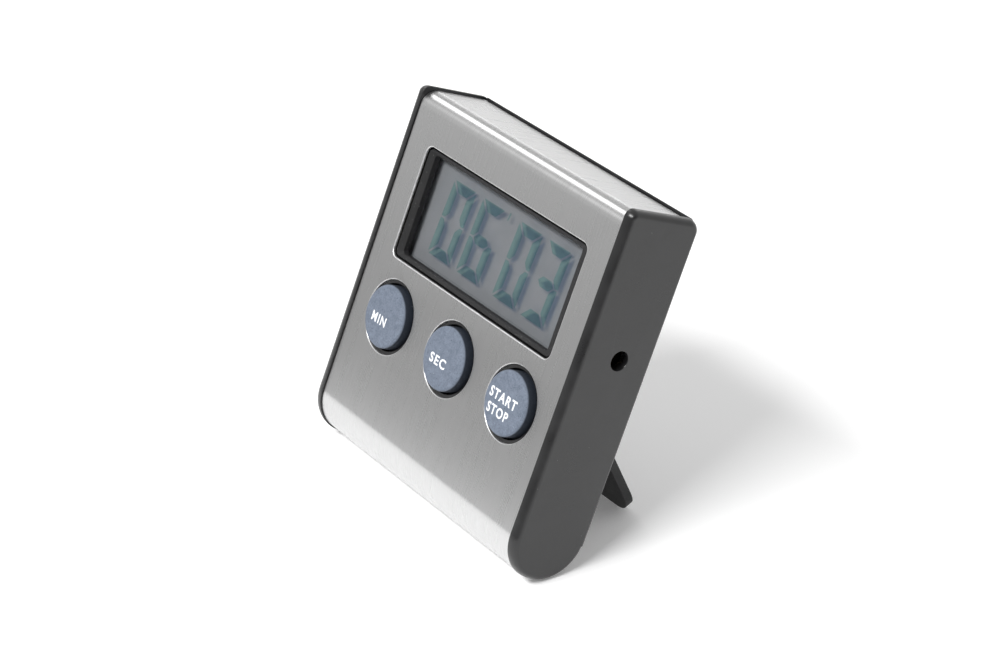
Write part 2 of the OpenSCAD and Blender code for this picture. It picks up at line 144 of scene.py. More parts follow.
case_low, case_high = upright_box("front_housing")
steel_high = upright_box("steel_cover")[1]
reflector_low = upright_box("lcd_reflector")[0]
polarizer_low, polarizer_high = upright_box("lcd_front_polarizer")
RIM = -case_low.y
HALF_W = case_high.x
BODY_D = case_high.y
INNER_Y = STEEL_T + WALL
STEEL_END_Y = max(p.y for p in upright_points("steel_cover") if p.z < END_R / 2)
HALF_IN = steel_high.x + SIDE_GAP
STEEL_BACK_Y = steel_high.y - REAR_GAP


# ---- shader helpers ----

def ramp_node(tree, value, low, high, new_low, new_high):
    """value mapped from low..high to new_low..new_high, and held at the ends."""
    ramp = tree.nodes.new("ShaderNodeMapRange")
    ramp.inputs["From Min"].default_value = low
    ramp.inputs["From Max"].default_value = high
    ramp.inputs["To Min"].default_value = new_low
    ramp.inputs["To Max"].default_value = new_high
    tree.links.new(value, ramp.inputs["Value"])
    return ramp.outputs["Result"]


class Finish:
    """A principled material, with short calls for the nodes that give it its detail."""

    def __init__(self, name, **sockets):
        self.material = bpy.data.materials.new(name)
        self.material.use_nodes = True
        self.tree = self.material.node_tree
        self.bsdf = self.tree.nodes["Principled BSDF"]
        for socket, value in sockets.items():
            self.bsdf.inputs[socket.replace("_", " ")].default_value = value
        self.place = self.node("ShaderNodeTexCoord").outputs["Object"]

    def node(self, kind, **settings):
        made = self.tree.nodes.new(kind)
        for key, value in settings.items():
            setattr(made, key, value)
        return made

    def wire(self, source, target):
        self.tree.links.new(source, target)

    def drive(self, socket, source):
        self.wire(source, self.bsdf.inputs[socket])

    def stretched(self, scale):
        """Object coordinates scaled along each axis, which draws a noise out the other way."""
        mapping = self.node("ShaderNodeMapping")
        mapping.inputs["Scale"].default_value = scale
        self.wire(self.place, mapping.inputs["Vector"])
        return mapping.outputs["Vector"]

    def noise(self, size, detail=2.0, place=None, distortion=0.0):
        """Smooth noise whose features are about size metres across, from 0 to 1."""
        made = self.node("ShaderNodeTexNoise")
        made.inputs["Scale"].default_value = 1 / size
        made.inputs["Detail"].default_value = detail
        made.inputs["Distortion"].default_value = distortion
        self.wire(place or self.place, made.inputs["Vector"])
        return made.outputs["Fac"]

    def specks(self, spacing, radius):
        """1 inside small round specks, 0 outside: about one in each cell of that spacing."""
        cells = self.node("ShaderNodeTexVoronoi")
        cells.inputs["Scale"].default_value = 1 / spacing
        self.wire(self.place, cells.inputs["Vector"])
        return self.spread(cells.outputs["Distance"], radius / spacing, 0.6 * radius / spacing, 0, 1)

    def spread(self, value, low, high, new_low, new_high):
        return ramp_node(self.tree, value, low, high, new_low, new_high)

    def sums(self, *weighted):
        """The sum of value * weight pairs."""
        total = None
        for value, weight in weighted:
            made = self.node("ShaderNodeMath", operation="MULTIPLY_ADD")
            self.wire(value, made.inputs[0])
            made.inputs[1].default_value = weight
            made.inputs[2].default_value = 0.0
            if total is not None:
                self.wire(total, made.inputs[2])
            total = made.outputs[0]
        return total

    def blend(self, factor, first, second):
        """Colour first where factor is 0 and second where it is 1; each a colour or a socket."""
        made = self.node("ShaderNodeMix", data_type="RGBA")
        self.wire(factor, made.inputs["Factor"])
        for socket, colour in ((made.inputs[6], first), (made.inputs[7], second)):
            if isinstance(colour, tuple):
                socket.default_value = (*colour, 1)
            else:
                self.wire(colour, socket)
        return made.outputs[2]

    def bump(self, height, distance):
        made = self.node("ShaderNodeBump")
        made.inputs["Distance"].default_value = distance
        self.wire(height, made.inputs["Height"])
        self.drive("Normal", made.outputs["Normal"])


# ---- materials ----

def brushed_steel():
    """Satin stainless sheet, brushed along its length: long hairlines that differ across x."""
    f = Finish("brushed_steel_sheet", Metallic=1.0, Anisotropic=0.7, Anisotropic_Rotation=0.25)
    fine = f.noise(0.07 * MM, 2, f.stretched((1, 0.008, 0.008)))
    hair = f.noise(0.3 * MM, 3, f.stretched((1, 0.012, 0.012)))
    wide = f.noise(2.5 * MM, 2, f.stretched((1, 0.05, 0.05)))
    grain = f.sums((fine, 0.45), (hair, 0.35), (wide, 0.2))
    tone = f.spread(grain, 0.35, 0.65, 0, 1)
    f.drive("Base Color", f.blend(tone, (0.60, 0.60, 0.60), (0.63, 0.63, 0.63)))
    f.drive("Roughness", f.spread(grain, 0.3, 0.7, 0.26, 0.30))
    f.drive("Tangent", f.node("ShaderNodeTangent", direction_type="RADIAL", axis="X").outputs[0])
    f.bump(f.sums((fine, 0.6), (hair, 0.4)), 0.0014 * MM)
    return f.material


def black_plastic(name="black_moulded_plastic", base=(0.009, 0.009, 0.0095), shine=0.66, roughness=0.29,
                  dust_spacing=1.9 * MM):
    """Black moulding with a fine spark-eroded texture, faint handling marks and some dust."""
    f = Finish(name, Specular_IOR_Level=shine)
    grain = f.noise(0.22 * MM, 3)
    fine = f.noise(0.09 * MM, 2)
    marks = f.noise(6 * MM, 3, distortion=0.6)
    dust = f.specks(dust_spacing, 0.05 * MM)
    worn = tuple(c * 1.5 for c in base)
    plain = f.blend(f.spread(marks, 0.4, 0.7, 0, 1), base, worn)
    f.drive("Base Color", f.blend(dust, plain, (0.32, 0.32, 0.31)))
    texture = f.spread(grain, 0.3, 0.7, roughness * 0.9, roughness * 1.1)
    handled = f.spread(marks, 0.3, 0.7, 0, 0.07)
    f.drive("Roughness", f.sums((texture, 1), (handled, 1)))
    f.bump(f.sums((grain, 0.7), (fine, 0.3)), 0.012 * MM)
    return f.material


def key_rubber():
    """Key rubber, pale blue-grey on its top and near-black navy down its sides, speckled and a little
    dusty.
    """
    f = Finish("key_rubber_pale_top", Specular_IOR_Level=0.35)
    mottle = f.noise(1.1 * MM, 4)
    speck = f.noise(0.28 * MM, 3)
    pores = f.specks(0.8 * MM, 0.11 * MM)
    lint = f.specks(1.1 * MM, 0.055 * MM)
    tone = f.spread(f.sums((mottle, 0.45), (speck, 0.55)), 0.36, 0.64, 0, 1)
    top_tone = f.blend(tone, (0.108, 0.132, 0.175), (0.175, 0.205, 0.26))
    top_tone = f.blend(pores, top_tone, (0.055, 0.07, 0.10))
    side = f.blend(speck, (0.010, 0.014, 0.022), (0.024, 0.031, 0.045))
    depth = f.node("ShaderNodeSeparateXYZ")
    f.wire(f.place, depth.inputs[0])
    top = upright_box("button_minutes")[0].y
    edge = f.sums((depth.outputs["Y"], 1), (f.spread(speck, 0, 1, -0.08 * MM, 0.08 * MM), 1))
    mask = f.spread(edge, top + PALE_TOP_DEPTH, top + PALE_TOP_DEPTH + 0.25 * MM, 0, 1)
    f.drive("Base Color", f.blend(lint, f.blend(mask, top_tone, side), (0.55, 0.56, 0.58)))
    f.drive("Roughness", f.spread(mottle, 0.3, 0.7, 0.62, 0.78))
    f.bump(f.sums((speck, 0.7), (mottle, 0.3)), 0.03 * MM)
    return f.material


def legend_ink():
    """White pad-printed ink, slightly uneven."""
    f = Finish("white_legend_ink", Specular_IOR_Level=0.4)
    patch = f.noise(0.35 * MM, 3)
    tone = f.spread(patch, 0.35, 0.7, 0, 1)
    f.drive("Base Color", f.blend(tone, (0.82, 0.83, 0.86), (0.93, 0.94, 0.96)))
    f.drive("Roughness", f.spread(patch, 0.3, 0.7, 0.45, 0.6))
    return f.material


def display_glass():
    """Clear slab that needs no refraction: tinted transparency under a gloss on its outside."""
    f = Finish("display_glass")
    tint = (0.93, 0.945, 0.95)
    clear = f.node("ShaderNodeBsdfTransparent")
    patch = f.noise(3 * MM, 3)
    colour = f.blend(f.spread(patch, 0.3, 0.7, 0, 1), tuple(0.98 * c for c in tint), tint)
    f.wire(colour, clear.inputs["Color"])
    gloss = f.node("ShaderNodeBsdfGlossy")
    f.wire(f.spread(patch, 0.3, 0.7, 0.06, 0.084), gloss.inputs["Roughness"])
    fresnel = f.node("ShaderNodeFresnel")
    fresnel.inputs["IOR"].default_value = 1.45
    front = f.spread(f.node("ShaderNodeNewGeometry").outputs["Backfacing"], 0, 1, 1, 0)
    outside = f.node("ShaderNodeMath", operation="MULTIPLY")
    f.wire(fresnel.outputs[0], outside.inputs[0])
    f.wire(front, outside.inputs[1])
    mix = f.node("ShaderNodeMixShader")
    f.wire(outside.outputs[0], mix.inputs["Fac"])
    f.wire(clear.outputs[0], mix.inputs[1])
    f.wire(gloss.outputs[0], mix.inputs[2])
    f.wire(mix.outputs[0], f.tree.nodes["Material Output"].inputs["Surface"])
    f.tree.nodes.remove(f.bsdf)
    return f.material


def segment_film():
    """Liquid crystal segment: pale teal to the eye, with a slate shadow on the sheet behind."""
    f = Finish("liquid_crystal_segment")
    clear = f.node("ShaderNodeBsdfTransparent")
    patch = f.noise(1.3 * MM, 2)
    seen = f.blend(patch, (0.71, 0.91, 0.88), (0.77, 0.95, 0.92))
    cast = f.blend(patch, (0.51, 0.61, 0.73), (0.57, 0.67, 0.79))
    to_camera = f.node("ShaderNodeLightPath").outputs["Is Camera Ray"]
    f.wire(f.blend(to_camera, cast, seen), clear.inputs["Color"])
    f.wire(clear.outputs[0], f.tree.nodes["Material Output"].inputs["Surface"])
    f.tree.nodes.remove(f.bsdf)
    return f.material


def reflector_film():
    """Matt silver sheet behind the glass, with a very fine grain."""
    f = Finish("matt_reflector", Metallic=0.1, Specular_IOR_Level=0.2)
    grain = f.noise(0.12 * MM, 2)
    cloud = f.noise(5 * MM, 2)
    tone = f.spread(f.sums((grain, 0.35), (cloud, 0.65)), 0.35, 0.65, 0, 1)
    f.drive("Base Color", f.blend(tone, (0.215, 0.215, 0.225), (0.24, 0.235, 0.245)))
    f.drive("Roughness", f.spread(grain, 0.3, 0.7, 0.7, 0.85))
    f.bump(grain, 0.01 * MM)
    return f.material


def moulded(name, colour, roughness=0.5, size=0.3 * MM, relief=0.01 * MM, contrast=0.12, **sockets):
    """A plain moulded, cast or plated stuff with mottled colour and a fine surface relief."""
    f = Finish(name, **sockets)
    grain = f.noise(size, 3)
    cloud = f.noise(8 * size, 2)
    tone = f.spread(f.sums((grain, 0.5), (cloud, 0.5)), 0.35, 0.65, 0, 1)
    low = tuple(c * (1 - contrast) for c in colour)
    high = tuple(min(1.0, c * (1 + contrast)) for c in colour)
    f.drive("Base Color", f.blend(tone, low, high))
    f.drive("Roughness", f.spread(grain, 0.3, 0.7, roughness * 0.88, roughness * 1.12))
    f.bump(grain, relief)
    return f.material


def board_laminate():
    """Green solder mask with faint copper lines under it."""
    f = Finish("green_solder_mask", Coat_Weight=0.3)
    lines = f.node("ShaderNodeTexBrick")
    lines.inputs["Scale"].default_value = 90
    lines.inputs["Mortar Size"].default_value = 0.03
    f.wire(f.place, lines.inputs["Vector"])
    weave = f.noise(0.4 * MM, 2)
    mask = f.blend(weave, (0.012, 0.10, 0.035), (0.02, 0.15, 0.05))
    f.drive("Base Color", f.blend(lines.outputs["Fac"], mask, (0.05, 0.24, 0.08)))
    f.drive("Roughness", f.spread(weave, 0.3, 0.7, 0.3, 0.42))
    f.bump(weave, 0.01 * MM)
    return f.material


def layered_rubber():
    """Connector strip: pink insulating rubber with thin dark conducting layers across x."""
    f = Finish("layered_connector_rubber")
    place = f.node("ShaderNodeSeparateXYZ")
    f.wire(f.place, place.inputs[0])
    wave = f.node("ShaderNodeMath", operation="SINE")
    f.wire(f.sums((place.outputs["X"], 2 * pi / (0.18 * MM))), wave.inputs[0])
    patch = f.noise(1 * MM, 2)
    rubber = f.blend(patch, (0.55, 0.33, 0.30), (0.68, 0.42, 0.38))
    layer = f.spread(wave.outputs[0], 0.3, 0.6, 0, 1)
    f.drive("Base Color", f.blend(layer, rubber, (0.06, 0.05, 0.05)))
    f.drive("Roughness", f.spread(patch, 0.3, 0.7, 0.5, 0.65))
    return f.material


def floor_sheet():
    """White table top that glows a little of its own, painted light in place of light from below, and
    turns grey towards the front left: painted shade where the table falls out of the light.
    """
    f = Finish("pale_lit_table", Specular_IOR_Level=0.2, Emission_Strength=0.16)
    cloud = f.noise(60 * MM, 2)
    along = f.node("ShaderNodeVectorMath", operation="DOT_PRODUCT")
    along.inputs[1].default_value = (-0.400, -0.917, 0)
    f.wire(f.place, along.inputs[0])
    # painted shade: the table darkens, and its painted glow fades, towards the front left
    grey = f.spread(along.outputs["Value"], 0.10, 0.18, 0, 1)
    white = f.blend(cloud, (0.90, 0.90, 0.90), (0.92, 0.92, 0.92))
    f.drive("Base Color", f.blend(grey, white, (0.22, 0.22, 0.22)))
    f.drive("Emission Color", f.blend(grey, (1.0, 1.0, 1.0), (0.1, 0.1, 0.1)))
    f.drive("Roughness", f.spread(cloud, 0, 1, 0.75, 0.85))
    return f.material


# ---- mesh helpers ----

def arc(cy, cz, r, start, end, steps):
    """Points on an arc, both ends included."""
    angles = [start + (end - start) * i / steps for i in range(steps + 1)]
    return [(cy + r * cos(a), cz + r * sin(a)) for a in angles]


def rounded_rect(half_w, z0, z1, r, steps=8):
    """Outline in x and z with round corners, counter-clockwise from the lower right."""
    corners = ((half_w - r, z0 + r, -pi / 2), (half_w - r, z1 - r, 0),
               (-half_w + r, z1 - r, pi / 2), (-half_w + r, z0 + r, pi))
    return [p for x, z, a in corners for p in arc(x, z, r, a, a + pi / 2, steps)]


def circle(x, z, r, steps=72):
    return [(x + r * cos(2 * pi * i / steps), z + r * sin(2 * pi * i / steps)) for i in range(steps)]


def stitch(mesh, first, second, closed=True):
    """Quads between two rows of vertices."""
    count = len(first)
    for i in range(count if closed else count - 1):
        k = (i + 1) % count
        mesh.faces.new((first[i], first[k], second[k], second[i]))


def loop_edges(mesh, loop):
    """The edges round a loop of vertices, made where they are missing."""
    edges = []
    for a, b in zip(loop, loop[1:] + loop[:1]):
        edges.append(mesh.edges.get((a, b)) or mesh.edges.new((a, b)))
    return edges


def fill(mesh, *loops):
    """A flat face inside the first loop with the other loops as its holes."""
    if len(loops) == 1:
        mesh.faces.new(loops[0])
        return
    edges = [e for loop in loops for e in loop_edges(mesh, loop)]
    bmesh.ops.triangle_fill(mesh, use_beauty=True, use_dissolve=False, edges=edges)


def finish_mesh(mesh, name, material, body, bevel=0.0, smooth=radians(40)):
    """Turns a bmesh in the upright frame into a piece that rides on a body."""
    bmesh.ops.recalc_face_normals(mesh, faces=mesh.faces)
    data = bpy.data.meshes.new(name)
    mesh.to_mesh(data)
    mesh.free()
    data.materials.append(material)
    data.shade_smooth()
    data.set_sharp_from_angle(angle=smooth)
    piece = bpy.data.objects.new(name, data)
    bpy.context.scene.collection.objects.link(piece)
    piece.matrix_world = TO_ROW
    if bevel:
        break_edges(piece, bevel)
    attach(piece, body)
    return piece


def break_edges(piece, width):
    """Rounds a piece's sharp edges by a modifier and evens out its shading."""
    bevel = piece.modifiers.new("broken_edges", "BEVEL")
    bevel.width = width
    bevel.segments = 2
    bevel.limit_method = "ANGLE"
    bevel.angle_limit = radians(35)
    even_shading(piece)


def even_shading(piece):
    """Lets each vertex take its normal from the largest faces round it, so flat faces stay flat."""
    normals = piece.modifiers.new("even_shading", "WEIGHTED_NORMAL")
    normals.keep_sharp = True


def loft(mesh, rings):
    """Skin through closed rings of the same count; returns the vertices of each ring."""
    rows = [[mesh.verts.new(p) for p in ring] for ring in rings]
    for first, second in zip(rows, rows[1:]):
        stitch(mesh, first, second)
    return rows


def lathe(mesh, profile, centre, axis="Y", steps=128):
    """Turns (radius, depth) points about an axis through centre; ends on the axis close up."""
    cx, cy, cz = centre
    rows = []
    for r, d in profile:
        count = 1 if r == 0 else steps
        ring = []
        for i in range(count):
            u, v = r * cos(2 * pi * i / steps), r * sin(2 * pi * i / steps)
            place = (cx + u, cy + d, cz + v) if axis == "Y" else (cx + d, cy + u, cz + v)
            ring.append(mesh.verts.new(place))
        rows.append(ring)
    for first, second in zip(rows, rows[1:]):
        if len(first) == len(second):
            stitch(mesh, first, second)
        else:
            tip, ring = (first[0], second) if len(first) == 1 else (second[0], first)
            for i in range(steps):
                mesh.faces.new((tip, ring[i], ring[(i + 1) % steps]))
    return rows


def tube_along_x(mesh, outer, inner, x0, x1, y, z):
    """A short round tube."""
    profile = [(inner, x0), (outer, x0), (outer, x1), (inner, x1), (inner, x0)]
    lathe(mesh, profile, (0, y, z), "X", 64)
    bmesh.ops.remove_doubles(mesh, verts=mesh.verts, dist=1e-7)


# ---- steel front and the case around it ----

def wrap_profile(depth, end_y, top_y):
    """Side view of a sheet wrapped round the front, depth under the steel's outside: (y, z) from
    its end under the round end, up the front and over the top. Also the front stretch's index."""
    r = END_R - depth
    lower = arc(END_R, END_R, r, -acos((end_y - END_R) / r), -pi, 28)
    bend_r = max(BEND_R - depth, 0.3 * MM)
    bend = arc(depth + bend_r, steel_high.z - depth - bend_r, bend_r, pi, pi / 2, 16)
    return lower + bend + [(top_y, steel_high.z - depth)], len(lower) - 1


def wrapped_sheet(mesh, depth, thickness, half_w, end_y, top_y, holes, roll=0.0):
    """A sheet over the round end, the front and the top, with holes through the front. Each hole
    is a function from how far it is widened to its outline, and roll rounds the hole's front edge.
    The cut faces have material 1."""
    sides = []
    for d in (depth, depth + thickness):
        profile, front = wrap_profile(d, end_y, top_y)
        left = [mesh.verts.new((-half_w, y, z)) for y, z in profile]
        right = [mesh.verts.new((half_w, y, z)) for y, z in profile]
        widened = roll if d == depth else 0.0
        rims = [[mesh.verts.new((x, d, z)) for x, z in hole(widened)] for hole in holes]
        for i in range(len(profile) - 1):
            outline = [left[i], left[i + 1], right[i + 1], right[i]]
            fill(mesh, outline, *(rims if i == front else []))
        sides.append((left, right, rims))
    (left0, right0, rims0), (left1, right1, rims1) = sides
    stitch(mesh, left0, left1, closed=False)
    stitch(mesh, right0, right1, closed=False)
    for i in (0, -1):
        mesh.faces.new((left0[i], right0[i], right1[i], left1[i]))
    before = set(mesh.faces)
    for hole, first, last in zip(holes, rims0, rims1):
        rows = [first]
        for a in (pi / 8, pi / 4, 3 * pi / 8, pi / 2) if roll else ():
            outline = hole(roll * (1 - sin(a)))
            rows.append([mesh.verts.new((x, depth + roll * (1 - cos(a)), z)) for x, z in outline])
        rows.append(last)
        for near, far in zip(rows, rows[1:]):
            stitch(mesh, near, far)
    for face in set(mesh.faces) - before:
        face.material_index = 1


def window_hole(grow):
    return rounded_rect(WINDOW_HALF_W + grow, WINDOW_Z[0] - grow, WINDOW_Z[1] + grow, WINDOW_R + grow)


def round_hole(centre, r):
    def outline(grow):
        return circle(centre.x, centre.z, r + grow, 96)

    return outline


def case_window_hole(grow):
    """The opening in the plastic behind the window, which the steel's edge overhangs."""
    return window_hole(MOULD_BEVEL)


def key_centres():
    return {name: (upright_box(name)[0] + upright_box(name)[1]) / 2
            for name in ("button_minutes", "button_seconds", "button_start_stop")}


KEYS = key_centres()


def make_steel_cover(material, cut_material):
    mesh = bmesh.new()
    holes = [window_hole] + [round_hole(c, KEY_HOLE_R) for c in KEYS.values()]
    wrapped_sheet(mesh, 0.0, STEEL_T, steel_high.x, STEEL_END_Y, STEEL_BACK_Y, holes, CUT_ROLL)
    piece = finish_mesh(mesh, "steel_front_sheet", material, "case")
    piece.data.materials.append(cut_material)
    even_shading(piece)
    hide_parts("steel_cover")


def side_outline(inset, steps=10):
    """A side wall's outline in y and z, drawn in by inset: up the front, over the top, down the
    flat back, in at the step and round the lower end."""
    grow = RIM - inset
    top, rear = case_high.z - inset, BODY_D - inset
    front_r = max(FRONT_CORNER_R - inset, 0.3 * MM)
    rear_r = REAR_CORNER_R - inset
    round_r = END_R + grow
    step = -asin((END_R - STEP_Z) / round_r)
    points = arc(front_r - grow, top - front_r, front_r, pi, pi / 2, steps)
    points += arc(rear - rear_r, top - rear_r, rear_r, pi / 2, 0, steps)
    points += [(rear, STEP_Z)]
    points += arc(END_R, END_R, round_r, step, -pi, 4 * steps)
    return points


def side_wall(mesh, sign, sound_hole):
    """One side wall: flat inside, its outer edges rounded, and on the right a sound hole."""
    lip = 0.08 * MM
    stations = [(HALF_IN, lip), (HALF_IN + lip, 0.0)]
    for i in range(9):
        a = pi / 2 * i / 8
        stations.append((HALF_W - EDGE_ACROSS + EDGE_ACROSS * sin(a), EDGE_R * (1 - cos(a))))
    rings = [[(sign * x, y, z) for y, z in side_outline(inset)] for x, inset in stations]
    rows = loft(mesh, rings)
    if sound_hole is None:
        fill(mesh, rows[0])
        fill(mesh, rows[-1])
        return
    y, z, r = sound_hole
    soft = 0.12 * MM
    widths = [(HALF_IN, r), (HALF_W - soft, r), (HALF_W - soft / 3, r + soft / 3), (HALF_W, r + soft)]
    tube = loft(mesh, [[(sign * x, p, q) for p, q in circle(y, z, radius)] for x, radius in widths])
    fill(mesh, rows[0], tube[0])
    fill(mesh, rows[-1], tube[-1])


def window_frame(mesh):
    """The matt black frame inside the cut-out: a deep groove beside the steel, a rounded lip, a
    ledge that slopes in a little, and walls down to the display."""
    lip_y = STEEL_T - 0.08 * MM
    floor_y = INNER_Y - 0.2 * MM
    outer = [(-0.2 * MM, floor_y), (GROOVE, floor_y), (GROOVE, lip_y + 0.15 * MM),
             (GROOVE + 0.05 * MM, lip_y + 0.04 * MM), (GROOVE + 0.15 * MM, lip_y)]
    ledge_y = lip_y + LEDGE_DROP
    back_y = INNER_Y - 0.01 * MM
    inner = [(0.1 * MM, ledge_y), (0.03 * MM, ledge_y + 0.03 * MM), (0.0, ledge_y + 0.1 * MM),
             (0.0, back_y), (0.3 * MM, back_y)]
    rings = []
    for inset, y in outer:
        outline = rounded_rect(WINDOW_HALF_W - inset, WINDOW_Z[0] + inset, WINDOW_Z[1] - inset,
                               WINDOW_R - inset)
        rings.append([(x, y, z) for x, z in outline])
    for back, y in inner:
        outline = rounded_rect(WINDOW_HALF_W - LEDGE_SIDE + back, WINDOW_Z[0] + LEDGE_END - back,
                               WINDOW_Z[1] - LEDGE_END + back, LEDGE_R + back)
        rings.append([(x, y, z) for x, z in outline])
    before = set(mesh.faces)
    rows = loft(mesh, rings)
    stitch(mesh, rows[-1], rows[0])
    for face in set(mesh.faces) - before:
        face.material_index = 1


def make_case_front(material, frame_material):
    """Side walls, front wall, window frame and the tube behind the sound hole, in one piece."""
    mesh = bmesh.new()
    plate_low, plate_high = upright_box("buzzer_plate")
    plate_r = (plate_high.y - plate_low.y) / 2
    sound_y = (plate_low.y + plate_high.y) / 2
    sound_z = (plate_low.z + plate_high.z) / 2
    side_wall(mesh, 1, (sound_y, sound_z, SOUND_R))
    side_wall(mesh, -1, None)
    holes = [case_window_hole] + [round_hole(c, KEY_SEAT_R) for c in KEYS.values()]
    joined = HALF_IN + 0.05 * MM
    wrapped_sheet(mesh, STEEL_T + GLUE_T, WALL - GLUE_T, joined, STEEL_END_Y, STEEL_BACK_Y, holes)
    window_frame(mesh)
    tube_along_x(mesh, plate_r + 0.3 * MM, plate_r - 0.6 * MM, plate_high.x, joined, sound_y, sound_z)
    piece = finish_mesh(mesh, "black_case_front", material, "case", MOULD_BEVEL)
    piece.data.materials.append(frame_material)
    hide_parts("front_housing")


# ---- keys ----

def key_profile(low_y, high_y):
    """(radius, depth) points of a key from the middle of its top to the middle of its stem's end."""
    flat_r = KEY_R - KEY_EDGE_R
    dome = [(flat_r * i / 10, low_y + KEY_DOME * (i / 10) ** 2) for i in range(11)]
    edge = [(flat_r + KEY_EDGE_R * sin(a), low_y + KEY_DOME + KEY_EDGE_R * (1 - cos(a)))
            for a in (pi / 2 * i / 6 for i in range(1, 7))]
    flange_y = INNER_Y + 0.3 * MM
    return dome + edge + [(KEY_R, flange_y), (FLANGE_R, flange_y), (FLANGE_R, flange_y + FLANGE_T),
                          (STEM_R, flange_y + FLANGE_T), (STEM_R, high_y), (0, high_y)]


def make_key(node, body, material):
    centre = KEYS[node]
    low, high = upright_box(node)
    mesh = bmesh.new()
    lathe(mesh, key_profile(low.y, high.y), (centre.x, 0, centre.z))
    piece = finish_mesh(mesh, node.replace("button", "key_cap"), material, body, smooth=radians(35))
    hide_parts(node)


def make_legend(name, lines, node, body, material):
    """Raised ink lettering on a key's top: each line is its text, middle x and z, width, height
    and how much the strokes are thickened."""
    centre = KEYS[node]
    top = upright_box(node)[0].y
    for i, (text, dx, dz, width, height, boldness) in enumerate(lines):
        curve = bpy.data.curves.new(f"{name}_{i + 1}", "FONT")
        curve.body = text
        curve.align_x = "CENTER"
        curve.align_y = "CENTER"
        curve.offset = boldness
        curve.space_character = 1.2
        curve.extrude = 0.01
        curve.resolution_u = 6
        source = bpy.data.objects.new(curve.name, curve)
        bpy.context.scene.collection.objects.link(source)
        bpy.context.view_layer.update()
        drawn = source.evaluated_get(bpy.context.evaluated_depsgraph_get())
        data = bpy.data.meshes.new_from_object(drawn)
        bpy.data.objects.remove(source)
        xs, ys = [v.co.x for v in data.vertices], [v.co.y for v in data.vertices]
        scale_x, scale_y = width / (max(xs) - min(xs)), height / (max(ys) - min(ys))
        mid_x, mid_y = (max(xs) + min(xs)) / 2, (max(ys) + min(ys)) / 2
        for v in data.vertices:
            x = (v.co.x - mid_x) * scale_x + dx
            z = (v.co.y - mid_y) * scale_y + dz
            drop = KEY_DOME * (x * x + z * z) / (KEY_R - KEY_EDGE_R) ** 2
            lift = FILM_T if v.co.z > 0 else -FILM_T
            v.co = (centre.x + x, top + drop - lift, centre.z + z)
        data.materials.clear()
        data.materials.append(material)
        piece = bpy.data.objects.new(curve.name, data)
        bpy.context.scene.collection.objects.link(piece)
        piece.matrix_world = TO_ROW
        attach(piece, body)


# ---- display ----

def segment_outlines():
    """Outlines of the seven segments a to g, in a digit's own x and z, with mitred ends."""
    w, h, t, g = DIGIT_W, DIGIT_H, STROKE, STROKE_GAP
    mid = h / 2
    top = [(g, h), (w - g, h), (w - t - g, h - t), (t + g, h - t)]
    upper = [(0, h - g), (t, h - t - g), (t, mid + t / 2 + g), (t / 2, mid + g / 2), (0, mid + g / 2)]
    middle = [(t / 2 + g, mid), (t + g, mid + t / 2), (w - t - g, mid + t / 2), (w - t / 2 - g, mid),
              (w - t - g, mid - t / 2), (t + g, mid - t / 2)]

    def flipped(points):
        return [(x, h - z) for x, z in points]

    def mirrored(points):
        return [(w - x, z) for x, z in points]

    return {"a": top, "f": upper, "b": mirrored(upper), "g": middle, "d": flipped(top),
            "e": flipped(upper), "c": mirrored(flipped(upper))}


SEGMENTS_ON = {"0": "abcdef", "3": "abcdg", "6": "acdefg"}


def plate(mesh, outline, y0, y1):
    """A flat plate with that outline in x and z."""
    front = [mesh.verts.new((x, y0, z)) for x, z in outline]
    back = [mesh.verts.new((x, y1, z)) for x, z in outline]
    mesh.faces.new(front)
    mesh.faces.new(back)
    stitch(mesh, front, back)


def make_display(glass, film, back):
    """One clear slab for the polarizer and both glasses, the segments in it, the sheet behind."""
    depth = reflector_low.y - SHADOW_DEPTH
    mesh = bmesh.new()
    outlines = segment_outlines()
    for left, digit in zip(DIGIT_LEFTS, READOUT):
        for name in SEGMENTS_ON[digit]:
            outline = [(left + x + DIGIT_SLANT * z, DIGIT_BASE_Z + z) for x, z in outlines[name]]
            plate(mesh, outline, depth - FILM_T, depth)
    tick_x, tick_z = TICK_PLACE
    tick = [(-0.3, -0.75), (0.05, -0.75), (0.35, 0.75), (-0.05, 0.75)]
    plate(mesh, [(tick_x + x * MM, tick_z + z * MM) for x, z in tick], depth - FILM_T, depth)
    piece = finish_mesh(mesh, "display_segments", film, "case")

    mesh = bmesh.new()
    outline = rounded_rect(polarizer_high.x, polarizer_low.z, polarizer_high.z, 0.3 * MM, 3)
    plate(mesh, outline, polarizer_low.y, reflector_low.y - GLUE_T)
    piece = finish_mesh(mesh, "display_glass_stack", glass, "case")
    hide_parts("lcd_front_polarizer", "lcd_front_glass", "lcd_rear_glass")
    dress("lcd_reflector", back)


# ---- CAD nodes that stay ----

def dress(node, material, bevel=0.0):
    """Gives a CAD node its material and, where bevel is given, softened edges."""
    piece = frame["nodes"][node]
    piece.data.materials.clear()
    piece.data.materials.append(material)
    if not bevel:
        return
    for name in ("custom_normal", "sharp_face"):
        if name in piece.data.attributes:
            piece.data.attributes.remove(piece.data.attributes[name])
    weld = piece.modifiers.new("weld", "WELD")
    weld.merge_threshold = 1e-6
    flat = piece.modifiers.new("flat_faces", "DECIMATE")
    flat.decimate_type = "DISSOLVE"
    flat.angle_limit = radians(0.3)
    piece.data.shade_smooth()
    break_edges(piece, bevel)


# ---- scene ----

def make_floor():
    half = 6.0
    corners = ((-half, -half, 0), (half, -half, 0), (half, half, 0), (-half, half, 0))
    mesh = bmesh.new()
    fill(mesh, [mesh.verts.new(p) for p in corners])
    data = bpy.data.meshes.new("studio_floor")
    mesh.to_mesh(data)
    mesh.free()
    data.materials.append(floor_sheet())
    floor = bpy.data.objects.new("studio_floor", data)
    bpy.context.scene.collection.objects.link(floor)


